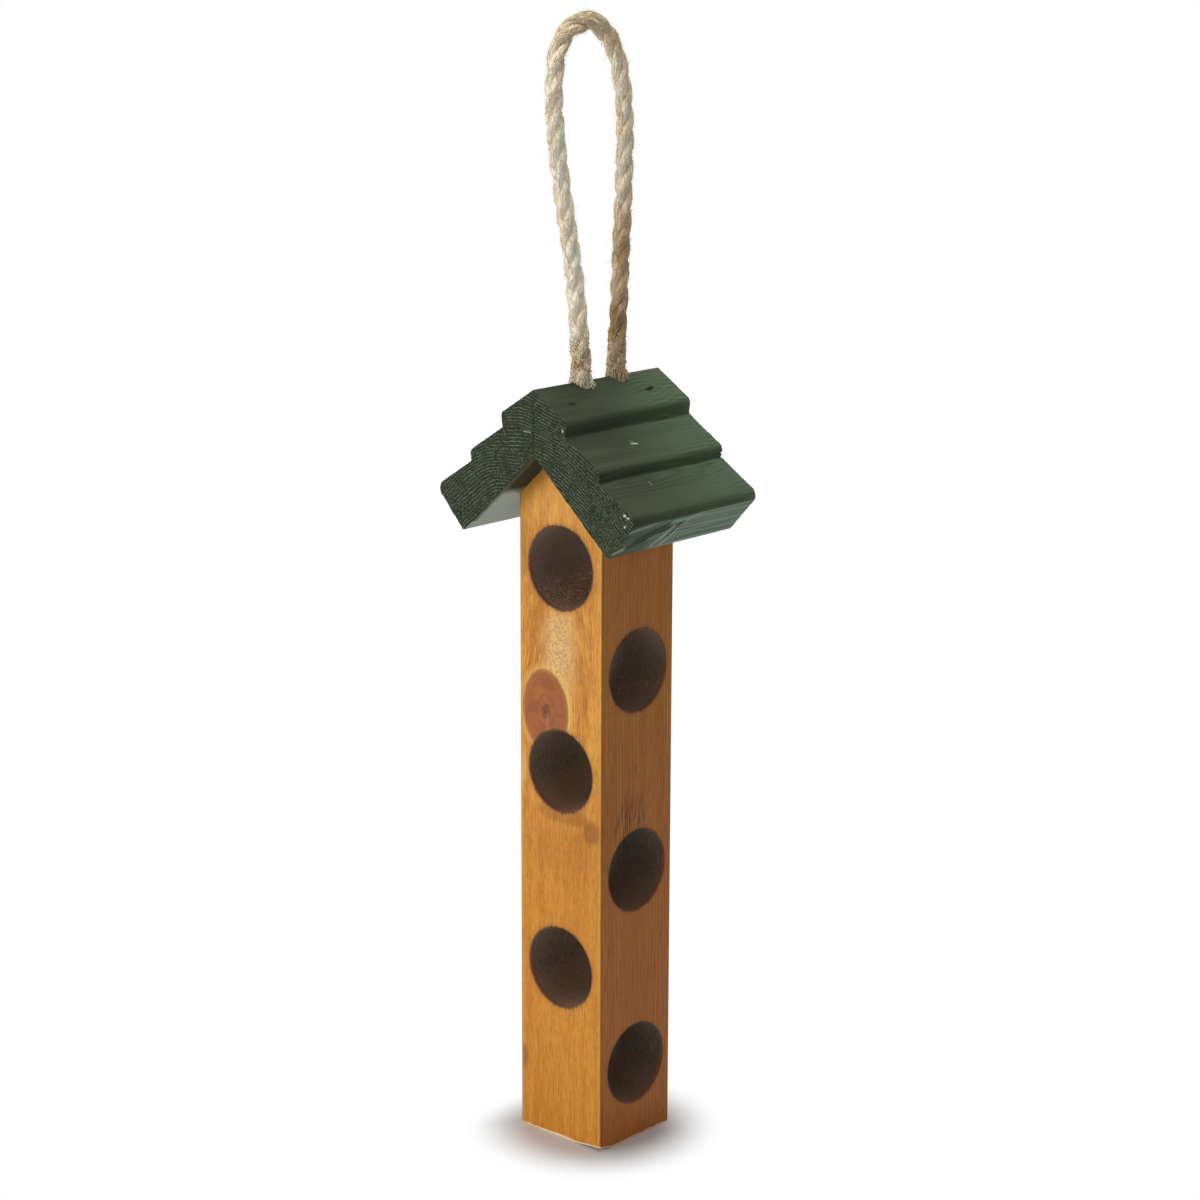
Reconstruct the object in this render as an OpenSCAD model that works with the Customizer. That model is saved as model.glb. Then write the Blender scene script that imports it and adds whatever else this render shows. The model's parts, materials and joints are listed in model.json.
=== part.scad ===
// Suet log feeder: a drilled pine post under a small stepped roof, hung from a rope loop.
// Millimetres, +Z up. The origin is the centre of the post's base.
// The ridge runs along Y, so the gables face -Y (front) and +Y (back).

/* [Post] */
// Width of the post, left to right
post_w = 45; // [42:0.5:50]
// Depth of the post, front to back
post_d = 43; // [40:0.5:50]
// Radius of the eased long edges of the post
edge_r = 1; // [0.5:0.1:2]

/* [Feeding holes] */
// Diameter of the holes that the suet is pressed into
hole_d = 34; // [28:0.5:36]
// Number of holes, bored side to side and front to back in turn from the base up
hole_count = 6; // [3:1:7]
// Wood left between one hole and the next above it
hole_web = 8.2; // [6:0.1:14]
// Wood left below the lowest hole
base_land = 16.3; // [10:0.1:30]
// Wood left between the top hole and the foot of the gable
top_land = 10; // [8:0.5:25]

/* [Roof boards] */
// Pitch of the roof, in degrees
pitch = 42.5; // [38:0.5:45]
// Length of the roof along the ridge
roof_len = 74; // [60:1:90]
// Length of a board's underside, from the ridge down to the eave
board_len = 52.5; // [48:0.5:60]
// Thickness of a board at the foot of each step
root_t = 18.2; // [15:0.1:22]
// Number of steps moulded across a board
lap_count = 3; // [2:1:4]
// Width of one step, measured down the slope
lap_w = 23.2; // [21:0.1:26]
// Angle at which a step's face rises from the board's plane, in degrees
lap_rise = 10; // [6:0.5:12]
// Angle between a step's front and the board's plane, in degrees
step_lean = 56; // [50:1:75]
// How much thicker the step at the ridge is than the steps below it
top_lap_extra = 1.2; // [0:0.1:2]
// Radius of the rounded nose of a step
nose_r = 2.5; // [1:0.1:3]
// Radius in the corner at the foot of a step
cove_r = 0.8; // [0.4:0.1:1.2]
// Radius along the top edge of the eave
eave_r = 3.5; // [2:0.1:5]
// Radius along the bottom edge of the eave
drip_r = 1; // [0.5:0.1:2]

/* [Rope] */
// Diameter of the rope
rope_d = 7.5; // [6:0.1:8]
// Distance between the two rope holes along the ridge
rope_spacing = 21; // [20:0.5:24]
// How far the pair of rope holes sits behind the middle of the ridge
rope_shift = 1; // [-3:0.5:3]
// Depth of a rope hole in the post, below the tip of the gable
socket_depth = 20; // [14:0.5:22]
// Clearance around the rope in its hole
rope_fit = 0.3; // [0.1:0.05:0.5]

/* [Brads] */
// Diameter of the wire of a brad
brad_d = 1.2; // [1:0.1:1.6]
// Diameter of the head of a brad
brad_head_d = 2.2; // [1.8:0.1:3]
// Thickness of the head of a brad
brad_head_t = 0.6; // [0.4:0.1:1]
// Length of the tapered point of a brad
brad_point = 2; // [1:0.1:3]
// Length of the brads that hold the roof boards
roof_brad_len = 30; // [26:1:32]
// Distance of the roof brads from the ridge, measured down the slope of the gable
roof_brad_s = 20; // [18:0.5:24]
// Distance of the roof brads from the front and back faces of the post
roof_brad_inset = 5.5; // [3.5:0.5:6]
// Depth of a roof brad's head under the face of the board
roof_brad_punch = 1; // [0.5:0.1:2]
// Length of the brads that pin the rope ends
rope_brad_len = 20; // [18:1:24]
// Distance of the rope brads from the ridge, measured down the slope of the gable
rope_brad_s = 8; // [6:0.5:10]
// Clearance around a brad
brad_fit = 0.05; // [0.02:0.01:0.1]

/* [Hidden] */

$fn = 64;
arc_steps = 6;
rope_sides = 10;
past = 1;

hole_pitch = hole_d + hole_web;
lowest_hole_z = base_land + hole_d / 2;
shoulder_z = base_land + hole_count * hole_pitch - hole_web + top_land;
peak_z = shoulder_z + post_w / 2 * tan(pitch);

eave_t = root_t + lap_w * tan(lap_rise);
ridge_root = board_len - lap_count * lap_w;
ridge_t = (root_t + top_lap_extra - ridge_root * tan(lap_rise)) / (1 + tan(pitch) * tan(lap_rise));
ridge_z = peak_z + ridge_t / cos(pitch);

rope_hole_d = rope_d + 2 * rope_fit;
socket_z = peak_z - socket_depth;
rope_front_y = rope_shift - rope_spacing / 2;
rope_back_y = rope_shift + rope_spacing / 2;
roof_brad_y = post_d / 2 - roof_brad_inset;

// The loop between the two rope holes, as [distance behind the middle of the pair, height over the ridge]
loop_route = [
    [-10.8, 7], [-11.5, 17], [-12.8, 29], [-15, 44], [-18, 59], [-21, 73], [-23.5, 86],
    [-25.3, 99], [-26.2, 109], [-26, 119], [-24, 128], [-20, 134], [-14, 137.9],
    [-7, 138.8], [-0.5, 137], [5, 132.5], [9.2, 126.5], [12.2, 118], [14.2, 107.5],
    [15, 94.5], [14.5, 80.5], [14, 66.5], [13, 51.5], [12.3, 36.5], [11.3, 22], [10.5, 7]
];

function unit(v) = v / norm(v);

// A place on the right-hand board, as [x, z], from its distance down the slope and its height over
// the underside
function on_board(s, t) =
    [s * cos(pitch) + t * sin(pitch), peak_z - s * sin(pitch) + t * cos(pitch)];

// Height of a board's stepped face over its underside, at a distance down the slope
function face_t(s) =
    root_t + ((s - ridge_root) % lap_w) * tan(lap_rise) + (s < ridge_root + lap_w ? top_lap_extra : 0);

// Height of a step's nose over its foot, on a step that is thicker than the others by extra
function nose_h(extra) = (lap_w * tan(lap_rise) + extra) / (1 + tan(lap_rise) / tan(step_lean));

// Points of an arc of radius r in the corner at b, on the way from a to c
function corner_arc(a, b, c, r) =
    let (
        back = unit(a - b),
        ahead = unit(c - b),
        half = acos(back * ahead) / 2,
        centre = b + unit(back + ahead) * r / sin(half),
        start = b + back * r / tan(half) - centre,
        from = atan2(start[1], start[0]),
        turn = sign(cross(b - a, c - b)) * (180 - 2 * half)
    )
    [
        for (i = [0:arc_steps])
            let (angle = from + turn * i / arc_steps)
            centre + r * [cos(angle), sin(angle)]
    ];

// An outline from its corners, each given as [x, y, radius]
function rounded(corners) =
    let (n = len(corners), xy = [for (c = corners) [c[0], c[1]]])
    [
        for (i = [0:n - 1])
            each corners[i][2] > 0
                ? corner_arc(xy[(i + n - 1) % n], xy[i], xy[(i + 1) % n], corners[i][2])
                : [xy[i]]
    ];

// The moulded section of a board, from the mitre down the underside and back up the steps
function board_outline() = rounded([
    [0, 0, 0],
    [board_len, 0, drip_r],
    [board_len, eave_t, eave_r],
    for (
        i = [1:lap_count - 1],
        root = board_len - i * lap_w,
        high = nose_h(i < lap_count - 1 ? 0 : top_lap_extra)
    ) each [
        [root, root_t, cove_r],
        [root - high / tan(step_lean), root_t + high, nose_r]
    ],
    [-ridge_t * tan(pitch), ridge_t, 0]
]);

module along_ridge(length) {
    rotate([90, 0, 0])
        linear_extrude(length, center = true)
            children();
}

module eased_rectangle(w, d, r) {
    square([w - 2 * r, d], center = true);
    square([w, d - 2 * r], center = true);
    for (x = [-1, 1], y = [-1, 1])
        translate([x * (w / 2 - r), y * (d / 2 - r)])
            circle(r);
}

module gable_outline() {
    side = post_w / 2 + past;
    eave_z = peak_z - side * tan(pitch);
    polygon([[-side, -past], [side, -past], [side, eave_z], [0, peak_z], [-side, eave_z]]);
}

module feeding_holes() {
    for (i = [0:hole_count - 1])
        translate([0, 0, lowest_hole_z + i * hole_pitch])
            rotate(i % 2 == 0 ? [0, 90, 0] : [90, 0, 0])
                cylinder(d = hole_d, h = max(post_w, post_d) + 2 * past, center = true);
}

module rope_holes() {
    for (y = [rope_front_y, rope_back_y])
        translate([0, y, socket_z])
            cylinder(d = rope_hole_d, h = ridge_z - socket_z + past);
}

// A brad that points down -Z, with the top of its head at the origin
module brad(length, fit = 0) {
    rotate_extrude()
        polygon([
            [0, fit],
            [brad_head_d / 2 + fit, fit],
            [brad_head_d / 2 + fit, -brad_head_t - fit],
            [brad_d / 2 + fit, -brad_head_t - fit],
            [brad_d / 2 + fit, brad_point - length],
            [0, -length - fit]
        ]);
}

// Moves a thing that stands on the origin to a place on the right-hand slope of the gable
module on_slope(s, y, t = 0) {
    place = on_board(s, t);
    translate([place[0], y, place[1]])
        rotate([0, pitch, 0])
            children();
}

module right_roof_brads(fit = 0) {
    for (y = [-roof_brad_y, roof_brad_y])
        on_slope(roof_brad_s, y, face_t(roof_brad_s) - roof_brad_punch)
            brad(roof_brad_len, fit);
}

module all_roof_brads(fit = 0) {
    right_roof_brads(fit);
    mirror([1, 0, 0])
        right_roof_brads(fit);
}

module all_rope_brads(fit = 0) {
    for (y = [rope_front_y, rope_back_y])
        on_slope(rope_brad_s, y)
            brad(rope_brad_len, fit);
}

module right_board() {
    difference() {
        along_ridge(roof_len)
            polygon([for (p = board_outline()) on_board(p[0], p[1])]);
        rope_holes();
        right_roof_brads(brad_fit);
    }
}

module rope_end(y) {
    difference() {
        translate([0, y, socket_z])
            cylinder(d = rope_d, h = ridge_z - socket_z);
        all_rope_brads(brad_fit);
    }
}

// A round tube along a line that lies in a plane square to X
module tube(line, d) {
    last = len(line) - 1;
    rings = [
        for (i = [0:last])
            let (ahead = unit(line[min(i + 1, last)] - line[max(i - 1, 0)]))
            let (across = cross(ahead, [1, 0, 0]))
            for (k = [0:rope_sides - 1])
                let (angle = 360 * k / rope_sides)
                line[i] + d / 2 * (cos(angle) * [1, 0, 0] + sin(angle) * across)
    ];
    sides = [
        for (i = [0:last - 1], k = [0:rope_sides - 1])
            let (a = i * rope_sides + k)
            let (b = i * rope_sides + (k + 1) % rope_sides)
            each [[a, a + rope_sides, b], [a + rope_sides, b + rope_sides, b]]
    ];
    ends = [
        [for (k = [0:rope_sides - 1]) k],
        [for (k = [rope_sides - 1:-1:0]) last * rope_sides + k]
    ];
    polyhedron(points = rings, faces = concat(sides, ends));
}

module post() {
    color("#c8762b")
        difference() {
            intersection() {
                linear_extrude(peak_z)
                    eased_rectangle(post_w, post_d, edge_r);
                along_ridge(post_d + 2 * past)
                    gable_outline();
            }
            feeding_holes();
            rope_holes();
            all_roof_brads(brad_fit);
            all_rope_brads(brad_fit);
        }
}

module roof_board_right() {
    color("#20382b")
        right_board();
}

module roof_board_left() {
    color("#20382b")
        mirror([1, 0, 0])
            right_board();
}

module hanging_rope() {
    color("#b9a47f")
        tube(
            [
                [0, rope_front_y, ridge_z],
                for (p = loop_route) [0, rope_shift + p[0], ridge_z + p[1]],
                [0, rope_back_y, ridge_z]
            ],
            rope_d
        );
}

module rope_end_front() {
    color("#a8926c")
        rope_end(rope_front_y);
}

module rope_end_back() {
    color("#a8926c")
        rope_end(rope_back_y);
}

module roof_brads() {
    color("#9a9c9e")
        all_roof_brads();
}

module rope_brads() {
    color("#9a9c9e")
        all_rope_brads();
}

post();
roof_board_left();
roof_board_right();
hanging_rope();
rope_end_front();
rope_end_back();
roof_brads();
rope_brads();
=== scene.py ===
import json
import math
import random

import bmesh
import bpy
import numpy as np
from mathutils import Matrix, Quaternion, Vector, noise


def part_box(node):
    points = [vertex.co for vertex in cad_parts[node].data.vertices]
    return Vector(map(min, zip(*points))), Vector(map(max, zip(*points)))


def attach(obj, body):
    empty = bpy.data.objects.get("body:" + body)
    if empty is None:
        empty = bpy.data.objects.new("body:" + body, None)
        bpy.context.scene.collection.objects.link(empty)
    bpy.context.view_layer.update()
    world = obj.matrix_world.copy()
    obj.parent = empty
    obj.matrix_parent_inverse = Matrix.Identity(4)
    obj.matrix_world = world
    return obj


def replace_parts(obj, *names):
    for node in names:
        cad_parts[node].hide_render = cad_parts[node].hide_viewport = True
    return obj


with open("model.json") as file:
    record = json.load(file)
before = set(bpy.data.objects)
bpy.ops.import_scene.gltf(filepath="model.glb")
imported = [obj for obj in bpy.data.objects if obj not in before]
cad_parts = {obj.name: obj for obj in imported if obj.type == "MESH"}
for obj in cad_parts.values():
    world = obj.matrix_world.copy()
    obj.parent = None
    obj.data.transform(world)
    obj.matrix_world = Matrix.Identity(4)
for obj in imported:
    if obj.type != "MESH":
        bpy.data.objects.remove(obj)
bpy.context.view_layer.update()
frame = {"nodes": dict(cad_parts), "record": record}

# A bird feeder: a drilled pine post, a stepped roof in green paint and a rope loop.
# Metres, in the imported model's frame. Sizes written in millimetres are turned to metres by MM,
# and patterns in the materials are worked out in millimetres. FAR is past everything in both.
MM = 0.001
FAR = 1000.0

# Photograph's viewpoint
AZIMUTH = math.radians(41.81)
ELEVATION = math.radians(13.92)
ROLL = math.radians(0.19)
DISTANCE = 1.1401
AIM = Vector((0.00105, 0.00094, 0.22743))
SENSOR = 36
LENS = 84.62

# Floor: it turns to plain white between two distances from each of these points
FLOOR_RADIUS = 6
GLOWS = [
    ((0.0016, -0.0026, 0), 0.0255, 0.0555),
    ((0.0349, -0.009, 0), 0.0544, 0.0801),
]
# Soft square lamps, as (name, place, side, power), and the surround's strength
LAMPS = [
    ("front_lamp", (-0.62, -1.55, 0.36), 0.8, 17.5),
    ("top_lamp", (0.05, 0.02, 1.7), 0.3, 16),
]
LAMP_AIM = (0, 0, 0.2)
SURROUND = 0.36

# Mesh work: points and cuts closer than these are one, and edges sharper than these are eased
# or kept as corners
WELD = 0.001 * MM
CUT_TOLERANCE = 0.002 * MM
FLAT_ANGLE = math.radians(0.5)
EASED_ANGLE = math.radians(35)
CORNER_ANGLE = math.radians(38)

# Materials: how far apart the noises of two seeds lie, the specular level of the paint on the
# laps, and how dark a mark is that loses its gloss too
SEED_SHIFT = 7.3
PAINT_GLOSS = 0.15
DULL_BELOW = 0.03

# Post, with the heights of its holes' middles in millimetres
HOLE_RADIUS = 17
OPENINGS = {o["name"]: o["box_m"] for o in frame["record"]["physics"]["openings"]}
FRONT_HOLES, SIDE_HOLES = (
    [sum(z for x, y, z in OPENINGS[f"{way}_hole_{level}"]) / 2 / MM for level in ("low", "middle", "top")]
    for way in ("front", "side"))
HOLE_PITCH = FRONT_HOLES[0] - SIDE_HOLES[0]
POST_LOW, POST_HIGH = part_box("post")
FRONT = POST_LOW.y / MM
RIM_EASE = 0.35 * MM
POST_PITH = (-4.0, 64.0)
POST_RING_SPACING = 1.55

# Knot on the front face, as [x, z] of its middle in millimetres
KNOT = (-8.2, 184)
KNOT_WIDTH = 12.2
KNOT_HEIGHT = 16.8
CORE = (-7.9, 183.8)

# Stains on the front face, and a painted shade under the roof, as (middle, half sizes, strength) in
# millimetres
STAINS_AND_SHADE = [
    ((17.5, FRONT, 137), (4.6, 5, 4.5), 0.7),
    ((2, FRONT, 141.5), (15, 5, 3.4), 0.5),
    ((-21.2, FRONT, 31), (3.0, 5, 5.5), 0.7),
    ((-20.6, FRONT, 249), (2.2, 5, 13), 0.45),
    ((2, FRONT, 126), (20, 5, 12), 0.2),
    # Painted shade at the gable's top, under the roof
    ((0, FRONT, 286), (7, 5, 5), 0.5),
]

# The post's front right corner is worn off at the foot, through these three points
WORN_CORNER = (Vector((7, -21.5, 0)), Vector((22.5, -21.5, 1.7)), Vector((22.5, -14, 0)))
# Raw edges round it, as (start, end, width) in millimetres
RAW_EDGES = [
    ((-11, -21.5, 0.1), (-2, -21.5, 0.3), 1.4),
    ((-2, -21.5, 0.3), (7, -21.5, 0.1), 1.8),
    ((7, -21.5, 0.1), (22.5, -21.5, 1.75), 1.1),
    ((22.5, -21.5, 1.75), (22.5, -14, 0.1), 0.9),
]
# Fibres torn at each mouth of a bore, below and above: (side, how many)
TORN = [(-1, 10), (1, 56)]

# Roof
RIDGE_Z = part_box("roof_board_right")[1].z
PITCH = math.radians(42.5)
LAP_SLOPE = math.radians(32.5)
ARRIS = 0.3 * MM
CUT_STEP = 0.4 * MM
CUT_ALONG = 4 * MM
# Growth rings, brushed lines and the half width of what the post hides, in millimetres
RING_SPACING = 1.3
LINE_SPACING = 2.2
HIDDEN_WIDTH = 22.5
RIDGE_JOINT = 0.4
TOP_LAP = 19
# What the paint needs to know of each point of a board
BOARD_LAYERS = ("arris", "ring", "end", "chip", "under", "eave", "ripple")

# Lines in the paint of the right eave, round its knot, as (start, end, width, share, colour)
EAVE_FIGURE = [
    ((49.5, -39, 268.2), (52.6, -15, 271.7), 2.2, 0.75, "#7f907c"),
    ((51.8, -39, 270.7), (54.6, -18, 273.6), 1.3, 0.5, "#6f806d"),
    ((40.2, -39, 258.2), (46.3, -17, 264.8), 1.8, 0.85, "#8fa08c"),
    ((44.4, -20, 262.8), (48.2, -7, 266.8), 1.6, 0.8, "#93a590"),
    ((42.6, -30, 260.8), (47.7, -11, 266.4), 2.6, 0.95, "#182017"),
    ((45.2, -27, 263.6), (49.4, -14, 268.1), 3.2, 0.8, "#1d261c"),
    ((49.0, -6.0, 267.7), (51.8, 6, 270.8), 2.0, 0.5, "#92a491"),
    ((46.2, -4.6, 264.6), (40.2, -7.6, 258.0), 1.3, 0.7, "#9fb09c"),
    ((46.0, -9.0, 264.4), (40.6, -13.5, 258.5), 1.6, 0.7, "#9fb09c"),
    ((48.9, -4.8, 267.6), (45.4, -6.7, 263.7), 0.85, 1.0, "#0f140e"),
    ((45.4, -6.7, 263.7), (42.9, -8.6, 261.1), 0.8, 1.0, "#0f140e"),
    ((42.9, -8.6, 261.1), (41.0, -12.9, 259.0), 0.75, 0.9, "#151b14"),
    ((48.3, -7.4, 266.9), (49.4, -4.4, 268.1), 1.2, 1.0, "#121811"),
    ((43.5, 0, 261.7), (44.5, 36, 262.8), 0.5, 0.5, "#33422f"),
    ((47.5, 2, 266.1), (47.8, 38, 266.4), 0.6, 0.5, "#3a4936"),
    ((51.0, 6, 269.9), (50.6, 38, 269.4), 0.5, 0.4, "#3a4936"),
]
# Scratches and dings in the paint of the right laps, and a painted shadow beside one ding, as (start, end,
# width, colour)
SCRATCHES_AND_SHADE = [
    ((25.1, -7.8, 295.9), (25.5, -4.9, 295.7), 0.65, "#b4bb9c"),
    ((23.7, -7.4, 296.8), (24.6, -6.1, 296.2), 0.6, "#65753f"),
    # Painted shadow beside the ding
    ((24.6, -5.0, 296.2), (25.2, -4.0, 295.8), 0.5, "#121810"),
    ((37.7, -11.9, 283.1), (39.2, -11.8, 282.1), 0.55, "#737c60"),
    ((9.5, 18.9, 312.0), (9.2, 21.4, 312.2), 1.1, "#141a10"),
    ((9.3, 20.6, 312.1), (8.8, 23.4, 312.5), 1.7, "#060805"),
    ((9.2, 23.6, 312.2), (9.4, 27.0, 312.0), 0.7, "#39492f"),
    ((9.3, -26.8, 312.1), (9.7, -24.0, 311.9), 1.0, "#0b0f09"),
]
# Dents and chips in the paint, as (place, half sizes, depth, share of bare wood) in millimetres
RIGHT_MARKS = [
    ((25.1, -6.5, 295.9), (0.6, 1.8, 0.6), 0.2, 0.4),
    ((47.6, -36.9, 275.0), (0.9, 1.0, 0.5), 0.4, 1.0),
    ((49.0, -36.9, 274.1), (0.8, 1.3, 0.45), 0.4, 1.0),
    ((47.4, -37.0, 270.6), (0.55, 0.4, 0.55), 0.3, 0.9),
    ((15.3, -37.0, 303.7), (0.5, 0.5, 0.7), 0.2, 0.8),
    ((9.2, 21.4, 312.2), (0.9, 1.6, 0.9), 0.6, 0.0),
    ((34.3, 37.0, 285.6), (1.3, 0.9, 0.5), 0.7, 0.0),
    ((34.0, 37.0, 287.3), (1.3, 0.9, 0.5), 0.7, 0.0),
    ((33.4, 37.0, 289.0), (1.2, 0.9, 0.5), 0.6, 0.0),
    ((9.5, -25.4, 312.1), (0.6, 1.2, 0.6), 0.25, 0.0),
]
LEFT_MARKS = [
    ((-18, 14, 301), (0.8, 1.8, 0.8), 0.2, 0.6),
    ((-3.2, -37.0, 301.1), (2.6, 0.6, 0.25), 0.05, 0.55),
]
# Knots under the paint, whose grain ripples: (place, how far each way a ripple is stretched,
# how many ripples, strength) in millimetres
RIGHT_KNOTS = [
    ((36.0, -17, 284.4), (2.0, 17.0, 2.0), 7, 0.6),
    ((49.0, -6.5, 267.6), (1.4, 7.0, 1.4), 5, 1.0),
    ((9.2, 21.4, 312.2), (0.8, 5.0, 0.8), 3, 1.0),
]
LEFT_KNOTS = [
    ((-36, 18, 285), (1.4, 6.0, 1.4), 5, 0.6),
]
# Middle of the growth rings of each board, as (x, z) in millimetres
RIGHT_PITH = (-14, 220)
LEFT_PITH = (-8, 238)

# Rope
FRONT_END_LOW, FRONT_END_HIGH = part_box("rope_end_front")
BACK_END_LOW, BACK_END_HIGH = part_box("rope_end_back")
FRONT_Y = (FRONT_END_LOW.y + FRONT_END_HIGH.y) / 2
BACK_Y = (BACK_END_LOW.y + BACK_END_HIGH.y) / 2
SOCKET_Z = FRONT_END_LOW.z
# The loop's route, as [distance behind the middle of the two holes, height over the ridge]
LOOP_ROUTE = [
    [-10.8, 7], [-11.5, 17], [-12.8, 29], [-15, 44], [-18, 59], [-21, 73], [-23.5, 86],
    [-25.3, 99], [-26.2, 109], [-26, 119], [-24, 128], [-20, 134], [-14, 137.9],
    [-7, 138.8], [-0.5, 137], [5, 132.5], [9.2, 126.5], [12.2, 118], [14.2, 107.5],
    [15, 94.5], [14.5, 80.5], [14, 66.5], [13, 51.5], [12.3, 36.5], [11.3, 22], [10.5, 7],
]
STRANDS = 3
STRAND_R = 1.8 * MM
STRAND_OFFSET = 1.6 * MM
LAY = 31 * MM
YARNS = 8
YARN_BULGE = 0.035
SECTION_POINTS = 24
SECTION_R = 0.975
ROPE_STEP = 0.8 * MM
# It swells by these shares where it leaves the roof, at the bend and low on the front leg
FLARE = 0.1
FLARE_REACH = 11 * MM
BEND_SWELL = 0.15
BEND_REACH = 14 * MM
FRONT_SWELL = 0.1
FRONT_SWELL_REACH = 75 * MM
# How uneven the hand-laid rope is, and over what length
ROPE_UNEVEN = 0.05
ROPE_UNEVEN_REACH = 6 * MM
STRAND_UNEVEN = 0.12
STRAND_UNEVEN_REACH = 4 * MM
TURN_DRIFT = 0.5
TURN_DRIFT_REACH = 22 * MM
# Fibres: how many are laid in the strands, frayed at each root, and curled at each root and on
# the surface
LAID_FIBRES = 4700
COLLAR_FIBRES = 260
ROOT_CURLS = 420
SURFACE_CURLS = 2600
# Stray hairs, short and long: how many, their lengths in millimetres (shortest, longest, usual),
# lift as a share of the length, and thickness in millimetres
STRAY_HAIRS = [
    (1900, (0.8, 3.0, 1.3), (0.3, 1.2), (0.04, 0.07)),
    (300, (2.5, 7.0, 3.5), (0.2, 0.9), (0.035, 0.06)),
]

draw = random.Random(20)


def linear(hex_colour):
    """A hex sRGB colour as the linear colour that a shader takes"""
    parts = [int(hex_colour[i:i + 2], 16) / 255 for i in (1, 3, 5)]
    return (*(c / 12.92 if c <= 0.04045 else ((c + 0.055) / 1.055) ** 2.4 for c in parts), 1)


def add(tree, kind, *feeds, named=None, **settings):
    """Adds a node with its settings. Feeds go to its inputs in turn, and a node or socket is linked"""
    made = tree.nodes.new("ShaderNode" + kind)
    for setting, value in settings.items():
        setattr(made, setting, value)
    pairs = list(zip([s for s in made.inputs if s.enabled], feeds))
    pairs += [(made.inputs[name], feed) for name, feed in (named or {}).items()]
    for socket, feed in pairs:
        if isinstance(feed, bpy.types.Node):
            feed = next(s for s in feed.outputs if s.enabled)
        if isinstance(feed, bpy.types.NodeSocket):
            tree.links.new(feed, socket)
        elif feed is not None:
            socket.default_value = feed
    return made


def new_material(name):
    """An empty material and its node tree"""
    material = bpy.data.materials.new(name)
    material.use_nodes = True
    material.node_tree.nodes.clear()
    return material, material.node_tree


def share(tree, *parts):
    """The product of its parts. A part is a number, a node, or (value, low, high, start, end) for a
    smooth change from start at low to end at high, and from 0 to 1 where these two are left out."""
    product = None
    for part in parts:
        if isinstance(part, tuple):
            part = add(tree, "MapRange", *(*part, 0.0, 1.0)[:5], interpolation_type="SMOOTHSTEP")
        if product is not None:
            part = add(tree, "Math", product, part, operation="MULTIPLY", use_clamp=True)
        product = part
    return product


def coats(tree, colour, *layers):
    """Lays colours over a colour in turn. A layer is the parts of its share, and then its colour"""
    if isinstance(colour, str):
        colour = linear(colour)
    for *parts, over in layers:
        over = linear(over) if isinstance(over, str) else over
        colour = add(tree, "Mix", share(tree, *parts), colour, over, data_type="RGBA")
    return colour


def most(tree, *values):
    """The highest of some numbers or nodes"""
    highest, *others = values
    for value in others:
        highest = add(tree, "Math", value, highest, operation="MAXIMUM")
    return highest


def millimetres(tree):
    """The object's own coordinates in millimetres, and their three parts"""
    place = add(tree, "TexCoord").outputs["Object"]
    place = add(tree, "VectorMath", place, (1 / MM,) * 3, operation="MULTIPLY")
    return place, add(tree, "SeparateXYZ", place).outputs


def streaks(tree, place, cell, detail=2.0, roughness=0.5, seed=0):
    """Noise from 0 to 1 whose cells have the real size cell = (x, y, z) in millimetres"""
    shrink = tuple(1 / size for size in cell)
    scaled = add(tree, "VectorMath", place, shrink, (seed * SEED_SHIFT,) * 3, operation="MULTIPLY_ADD")
    return add(tree, "TexNoise", scaled, 1.0, detail, roughness).outputs["Fac"]


def spot(tree, place, middle, reach, soft=0.25, wander=None):
    """1 inside an ellipsoid of half sizes reach round middle, and 0 outside, with a soft edge"""
    shrink = tuple(1 / r for r in reach)
    shift = tuple(-m / r for m, r in zip(middle, reach))
    scaled = add(tree, "VectorMath", place, shrink, shift, operation="MULTIPLY_ADD")
    away = add(tree, "VectorMath", scaled, operation="LENGTH").outputs["Value"]
    edge = 1.0
    if wander is not None:
        away = add(tree, "Math", wander, 0.8, away, operation="MULTIPLY_ADD")
        edge = 1.4
    return share(tree, (away, edge - soft, edge + soft, 1.0, 0.0))


def stroke(tree, place, start, end, width):
    """1 along the line from start to end, fading to 0 at its width, in millimetres"""
    ahead = Vector(end) - Vector(start)
    along = add(tree, "VectorMath", place, start, operation="SUBTRACT")
    along = add(tree, "VectorMath", along, ahead / ahead.length_squared, operation="DOT_PRODUCT")
    along = add(tree, "Math", along.outputs["Value"], 0.0, operation="ADD", use_clamp=True)
    along = add(tree, "CombineXYZ", along, along, along)
    nearest = add(tree, "VectorMath", along, ahead, start, operation="MULTIPLY_ADD")
    away = add(tree, "VectorMath", place, nearest, operation="DISTANCE").outputs["Value"]
    return share(tree, (away, 0.0, width, 1.0, 0.0))


def bore_distance(tree, place):
    """Distance from the axis of the nearest bore, in millimetres"""
    nearest = FAR
    for holes, across in ((FRONT_HOLES, 0), (SIDE_HOLES, 1)):
        flat = add(tree, "VectorMath", place, (1 - across, across, 1), operation="MULTIPLY")
        for hole in holes:
            away = add(tree, "VectorMath", flat, (0, 0, hole), operation="DISTANCE").outputs["Value"]
            nearest = add(tree, "Math", nearest, away, operation="MINIMUM")
    return nearest


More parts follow.
